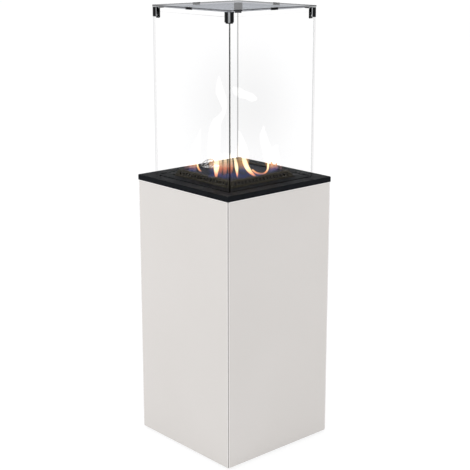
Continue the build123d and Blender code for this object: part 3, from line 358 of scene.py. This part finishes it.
def glazing(name, flat_axis, tint_and_shade_low, tint_and_shade_high, rim_axis, rim_span, rim_shade_tones, mirror):
    """Sheet glass: its flat faces look along one axis and darken round a point, a painted
    shade; its rims go from tone to tone, a painted shade graded along them.
    The mirrored share rises towards a grazing view as glass does (Schlick's rule)."""
    made, out = blank_material(name)
    tree = made.node_tree
    place = node(tree, "ShaderNodeTexCoord")
    away = node(tree, "ShaderNodeVectorMath", {0: place.outputs["Object"]}, operation="DISTANCE")
    away.inputs[1].default_value = PAINTED_SHADE_MIDDLE
    shade_falloff = node(tree, "ShaderNodeMapRange", {"Value": away.outputs["Value"]},
                interpolation_type="SMOOTHSTEP")
    shade_falloff.inputs["From Max"].default_value = PAINTED_SHADE_REACH
    tint_and_shade = node(tree, "ShaderNodeMix", {0: shade_falloff.outputs[0]}, data_type="RGBA")
    tint_and_shade.inputs[6].default_value = tint_and_shade_low
    tint_and_shade.inputs[7].default_value = tint_and_shade_high
    flat = node(tree, "ShaderNodeBsdfTransparent", {"Color": tint_and_shade.outputs[2]})
    shine = node(tree, "ShaderNodeBsdfGlossy", Roughness=0.03)
    slant = node(tree, "ShaderNodeLayerWeight", Blend=0.5)
    some = node(tree, "ShaderNodeMath", {0: slant.outputs["Facing"]}, operation="POWER")
    some.inputs[1].default_value = 5.0
    some = node(tree, "ShaderNodeMath", {0: some.outputs[0]}, operation="MULTIPLY_ADD")
    some.inputs[1].default_value = 0.9 * mirror
    some.inputs[2].default_value = 0.04 * mirror
    face = node(tree, "ShaderNodeMixShader", {0: some.outputs[0], 1: flat.outputs[0],
                                              2: shine.outputs[0]})
    split = node(tree, "ShaderNodeSeparateXYZ", {0: place.outputs["Object"]})
    tone = node(tree, "ShaderNodeMapRange", {"Value": split.outputs[rim_axis]})
    for socket, value in zip(("From Min", "From Max", "To Min", "To Max"), rim_span + rim_shade_tones):
        tone.inputs[socket].default_value = value
    grey = node(tree, "ShaderNodeCombineColor", {0: tone.outputs[0], 1: tone.outputs[0],
                                                 2: tone.outputs[0]})
    rim = node(tree, "ShaderNodeBsdfTransparent", {"Color": grey.outputs[0]})
    surface = node(tree, "ShaderNodeNewGeometry")
    facing = node(tree, "ShaderNodeSeparateXYZ", {0: surface.outputs["Normal"]})
    size = node(tree, "ShaderNodeMath", {0: facing.outputs[flat_axis]}, operation="ABSOLUTE")
    on_rim = node(tree, "ShaderNodeMath", {0: size.outputs[0]}, operation="LESS_THAN")
    on_rim.inputs[1].default_value = 0.5
    both = node(tree, "ShaderNodeMixShader", {0: on_rim.outputs[0], 1: face.outputs[0],
                                              2: rim.outputs[0]})
    tree.links.new(both.outputs[0], out.inputs[0])
    return made


# The painted shade's tone at its middle and at its edge.
PAINTED_SHADE_LOW = (0.945, 0.945, 0.945, 1.0)
PAINTED_SHADE_HIGH = (0.999, 0.999, 0.999, 1.0)
PANE_MIRROR = 0.12
pane_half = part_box("pane_front")[1].x
# Each pane's rim is a painted shade graded along X: the front pane's darkest towards its right end,
# the rear pane's towards its left end.
for side, axis, rim_shade_tones in (("front", 1, (0.84, 0.10)), ("rear", 1, (0.55, 0.86)),
                              ("right", 0, (0.74, 0.74)), ("left", 0, (0.88, 0.88))):
    dress([f"pane_{side}"], glazing(f"Clear float glass, {side} pane", axis, PAINTED_SHADE_LOW, PAINTED_SHADE_HIGH,
                                    0, (-pane_half, pane_half), rim_shade_tones, PANE_MIRROR))
LID_TINT = (0.590, 0.606, 0.640, 1.0)
LID_MIRROR = 0.33
lid_low, lid_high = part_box("lid_glass")
# The lid's rim is a painted shade, pale at its foot and dark along its top.
dress(["lid_glass"], glazing("Grey float glass, lid", 2, LID_TINT, LID_TINT, 2,
                             (lid_low.z + MM, lid_high.z - MM), (0.80, 0.16), LID_MIRROR))

# Corner brackets and edge clips
# Cast metal under dark chrome, rounded by polishing. Its colour carries a painted
# highlight: each piece is painted pale where it faces the eye and dark round its outline.
dark_chrome_highlight, out = blank_material("Dark chrome on zinc casting, painted highlight")
tree = dark_chrome_highlight.node_tree
rounding = node(tree, "ShaderNodeLayerWeight", Blend=0.5)
highlight_falloff = node(tree, "ShaderNodeMapRange", {"Value": rounding.outputs["Facing"]})
highlight_falloff.inputs["From Min"].default_value = 0.01
highlight_falloff.inputs["From Max"].default_value = 0.12
shade = node(tree, "ShaderNodeMix", {0: highlight_falloff.outputs[0]}, data_type="RGBA")
shade.inputs[6].default_value = linear("#D0D2D4")
shade.inputs[7].default_value = linear("#1A1B1C")
body = node(tree, "ShaderNodeBsdfPrincipled", {"Base Color": shade.outputs[2]}, Metallic=1.0,
            Roughness=0.18)
tree.links.new(body.outputs[0], out.inputs[0])
dress([f"corner_bracket_{corner}" for corner in ("front_right", "rear_right", "rear_left",
                                                 "front_left")] + ["edge_clips"], dark_chrome_highlight)

# Bracket shells
# Each glass corner is gripped from outside by two half-round chrome staves
# that stand under the lid. A stave is a flattened cylinder, cut in half
# along the glass with the cut face closed. The pair is copied to each corner.
STAVE_HALF_WIDTH = 8.6
STAVE_DEPTH = 2.3
STAVE_FROM_CORNER = 9.4
STAVE_PROUD = 0.2
stave_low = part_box("corner_bracket_front_right")[0].z + 4 * MM
stave_high = lid_low.z - 0.3 * MM
stave_along = pane_half - STAVE_FROM_CORNER * MM
spot = Vector((stave_along, -pane_half - STAVE_PROUD * MM, (stave_low + stave_high) / 2))
bpy.ops.object.select_all(action="DESELECT")
bpy.ops.mesh.primitive_cylinder_add(vertices=48, radius=STAVE_HALF_WIDTH * MM,
                                    depth=stave_high - stave_low, location=spot)
stave = bpy.context.object
stave.scale = (1, STAVE_DEPTH / STAVE_HALF_WIDTH, 1)
bpy.ops.object.transform_apply(location=True, rotation=True, scale=True)
bpy.ops.object.mode_set(mode="EDIT")
bpy.ops.mesh.select_all(action="SELECT")
bpy.ops.mesh.bisect(plane_co=spot, plane_no=(0, 1, 0), use_fill=True, clear_outer=True)
bpy.ops.object.mode_set(mode="OBJECT")
bpy.ops.object.shade_smooth_by_angle(angle=math.radians(35))
shell = joined([stave, copied(stave, math.pi / 2, (-2 * stave_along, 0, 0))])
# The staves wear the dark chrome with its painted highlight.
finish_round(shell, [(f"bracket_shell_{number}", number * math.pi / 2) for number in range(4)],
             dark_chrome_highlight)

# Bracket screws
# Two small dome-headed screws hold each bracket to its panes. A head is a
# polished ball, sunk into the bracket until only its crown stands proud.
SCREW_LEVEL = 9.0
SCREW_FROM_CORNER = 9.0
SCREW_SUNK = 2.2
SCREW_RADIUS = 2.4
bracket_low, bracket_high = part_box("corner_bracket_front_right")
reach = bracket_high.x - SCREW_FROM_CORNER * MM
depth = bracket_high.x - SCREW_SUNK * MM
bpy.ops.object.select_all(action="DESELECT")
bpy.ops.mesh.primitive_uv_sphere_add(segments=20, ring_count=10, radius=SCREW_RADIUS * MM,
                                     location=(reach, -depth, bracket_low.z + SCREW_LEVEL * MM))
head = bpy.context.object
bpy.ops.object.shade_smooth()
bpy.ops.object.transform_apply(location=True, rotation=True, scale=True)
heads = joined([head, copied(head, 0.0, (depth - reach, depth - reach, 0))])
finish_round(heads, [(f"bracket_screws_{number}", number * math.pi / 2) for number in range(4)],
             bright_steel)

# Pilot wires
# Two bright spring wires curl beside the pilot tube and keep its small flame
# steady. Each is a bent rod, a curve of round section turned into a mesh, and
# is laid out across the picture and towards the eye.


def rod(name, points, thickness, material):
    """A round rod bent smoothly through the points, closed at both ends."""
    bpy.ops.object.select_all(action="DESELECT")
    bpy.ops.curve.primitive_bezier_curve_add(location=(0, 0, 0))
    made = bpy.context.object
    line = made.data.splines[0]
    line.bezier_points.add(len(points) - 2)
    for spot, point in zip(line.bezier_points, points):
        spot.co = point[:3]
        spot.radius = point[3]
        spot.handle_left_type = spot.handle_right_type = "AUTO"
    made.data.bevel_depth = thickness
    made.data.bevel_resolution = 5
    made.data.resolution_u = 10
    made.data.use_fill_caps = True
    bpy.ops.object.convert(target="MESH")
    bpy.ops.object.mode_set(mode="EDIT")
    bpy.ops.mesh.select_all(action="SELECT")
    bpy.ops.mesh.remove_doubles(threshold=0.00001)
    bpy.ops.mesh.normals_make_consistent(inside=False)
    bpy.ops.object.mode_set(mode="OBJECT")
    bpy.ops.object.shade_smooth()
    return finish_piece(made, name, material)


deck_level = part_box("burner_deck")[1].z
ACROSS = Vector((0.6656, 0.7463, 0))
TOWARD = Vector((0.7463, -0.6656, 0))


def spread(spots, toward):
    """Points in metres from (across the picture, level, share of thickness) in millimetres."""
    return [(*(ACROSS * across * MM + TOWARD * toward * MM).xy, level * MM, share)
            for across, level, share in spots]


rod("pilot_wire_outer", spread(((-99, 854, 1), (-99, 864, 1), (-90, 874, 1), (-76, 880, 1),
                                (-65, 878, 1), (-62, 868, 1), (-70, 858, 1), (-84, 854, 1)), -40),
    1.5 * MM, bright_steel)
rod("pilot_wire_inner", spread(((-92, 855, 1), (-90, 862, 1), (-80, 869, 1), (-70, 873, 1),
                                (-68, 865, 1), (-78, 859, 1), (-86, 866, 1), (-82, 876, 1),
                                (-72, 884, 1)), -34),
    1.3 * MM, bright_steel)

# Flames
# Soft tongues of gas flame that rise from the burner deck inside the panes.
# Each follows a line across the picture with its own half width, in
# millimetres: blue at the foot, orange, then cream and nearly white above.
# They stand only in the scene and ride with the column.
FIRE_FADE = 100.0
FIRE_TOP_STRENGTH = 0.09


def fire(name, foot_tone, middle_tone, strength):
    """A glow without a surface, coloured by height and soft at its outline."""
    made, out = blank_material(name)
    tree = made.node_tree
    place = node(tree, "ShaderNodeTexCoord")
    split = node(tree, "ShaderNodeSeparateXYZ", {0: place.outputs["Object"]})
    height = node(tree, "ShaderNodeMapRange", {"Value": split.outputs[2]})
    height.inputs["From Min"].default_value = deck_level
    height.inputs["From Max"].default_value = deck_level + FIRE_FADE * MM
    ramp = node(tree, "ShaderNodeValToRGB", {0: height.outputs[0]})
    stops = ramp.color_ramp.elements
    stops[0].color = linear("#0A1438")
    stops[1].position = 1.0
    stops[1].color = linear("#FFFDF8")
    for where, tone in ((0.10, foot_tone), (0.28, middle_tone), (0.58, "#FFE6BE")):
        stop = stops.new(where)
        stop.color = linear(tone)
    power = node(tree, "ShaderNodeMapRange", {"Value": height.outputs[0]})
    power.inputs["To Min"].default_value = strength
    power.inputs["To Max"].default_value = FIRE_TOP_STRENGTH
    rounding = node(tree, "ShaderNodeLayerWeight", Blend=0.5)
    core = node(tree, "ShaderNodeMath", {1: rounding.outputs["Facing"]}, operation="SUBTRACT")
    core.inputs[0].default_value = 1.0
    soft = node(tree, "ShaderNodeMath", {0: core.outputs[0], 1: power.outputs[0]},
                operation="MULTIPLY")
    glow = node(tree, "ShaderNodeEmission", {"Color": ramp.outputs[0], "Strength": soft.outputs[0]})
    clear = node(tree, "ShaderNodeBsdfTransparent", Color=(1, 1, 1, 1))
    both = node(tree, "ShaderNodeAddShader", {0: glow.outputs[0], 1: clear.outputs[0]})
    tree.links.new(both.outputs[0], out.inputs[0])
    return made


pale_fire = fire("Gas flame, tall pale tongue", "#3A4478", "#F2A95A", 0.34)
cream_fire = fire("Gas flame, cream strand", "#C07A45", "#FFE2B0", 1.25)
red_fire = fire("Gas flame, red-brown strand", "#3A2630", "#B5603C", 0.85)
haze_fire = fire("Gas flame, rose haze at the ends", "#4A3038", "#B98A70", 0.62)
blue_fire = fire("Gas flame, blue base", "#1B2A6E", "#2A3F7A", 0.26)
FLAMES = (
    ("tall_leaf", pale_fire, 40, ((-63, 854, 11), (-61, 905, 18), (-58, 970, 20), (-52, 1005, 16),
                                  (-38, 1026, 9), (-29, 1046, 6), (-32, 1070, 12), (-41, 1098, 14),
                                  (-44, 1126, 8), (-44, 1146, 1))),
    ("drifting_lobe", pale_fire, 0, ((-4, 1107, 3), (6, 1098, 13), (20, 1089, 15), (38, 1083, 12),
                                     (56, 1075, 14), (69, 1072, 4))),
    ("middle_tongue", pale_fire, 30, ((27, 854, 13), (27, 890, 20), (24, 930, 16), (18, 965, 7),
                                      (13, 981, 1))),
    ("right_tongue", pale_fire, 30, ((112, 856, 13), (110, 892, 21), (97, 930, 14), (88, 965, 12),
                                     (88, 996, 1))),
    ("right_shoulder", pale_fire, 10, ((126, 858, 10), (124, 890, 15), (122, 916, 13),
                                       (130, 932, 3))),
    ("left_tongue", pale_fire, 20, ((-127, 856, 13), (-124, 890, 20), (-114, 925, 13),
                                    (-101, 982, 1))),
    ("left_amber", haze_fire, 6, ((-133, 854, 4), (-131, 865, 7), (-131, 882, 2))),
    ("left_rose", haze_fire, 0, ((-147, 854, 3), (-146, 862, 6), (-144, 876, 2))),
    ("left_brown", haze_fire, 20, ((-120, 854, 4), (-119, 867, 7), (-120, 886, 2))),
    ("blue_front", blue_fire, 120, ((-36, 856, 4), (-12, 862, 9), (14, 862, 9), (36, 856, 4))),
    ("blue_left", blue_fire, 108, ((-76, 856, 4), (-52, 864, 9), (-34, 858, 4))),
    ("blue_right", blue_fire, 96, ((28, 856, 4), (52, 862, 9), (78, 857, 4))),
    ("amber_veil", red_fire, 98, ((-42, 854, 4), (-40, 884, 8), (-41, 924, 5))),
    ("brown_veil", red_fire, 96, ((-13, 854, 4), (-10, 884, 9), (-12, 924, 5))),
    ("left_edge", cream_fire, 20, ((-100, 853, 3), (-108, 864, 3), (-112, 888, 2))),
    ("cream_strand", cream_fire, 104, ((-53, 853, 4), (-52, 884, 9), (-50, 922, 5))),
    ("red_strand", red_fire, 104, ((-29, 854, 4), (-26, 884, 8), (-26, 926, 5))),
    ("centre_strand", cream_fire, 100, ((10, 853, 2), (7, 886, 6), (0, 922, 4))),
    ("curved_strand", cream_fire, 92, ((64, 853, 3), (44, 873, 7), (32, 898, 8), (26, 924, 4))),
    ("cup_strand", cream_fire, 60, ((54, 868, 2), (72, 856, 4), (94, 859, 3), (104, 896, 3))),
    ("right_rose", haze_fire, 20, ((113, 854, 4), (114, 866, 7), (113, 883, 2))),
    ("right_amber", haze_fire, 10, ((128, 854, 4), (128, 864, 6), (129, 877, 2))),
    ("right_brown", haze_fire, 6, ((142, 854, 3), (142, 862, 5), (141, 872, 2))),
)
for name, material, toward, spots in FLAMES:
    rod(f"flame_{name}", spread(spots, toward), MM, material)
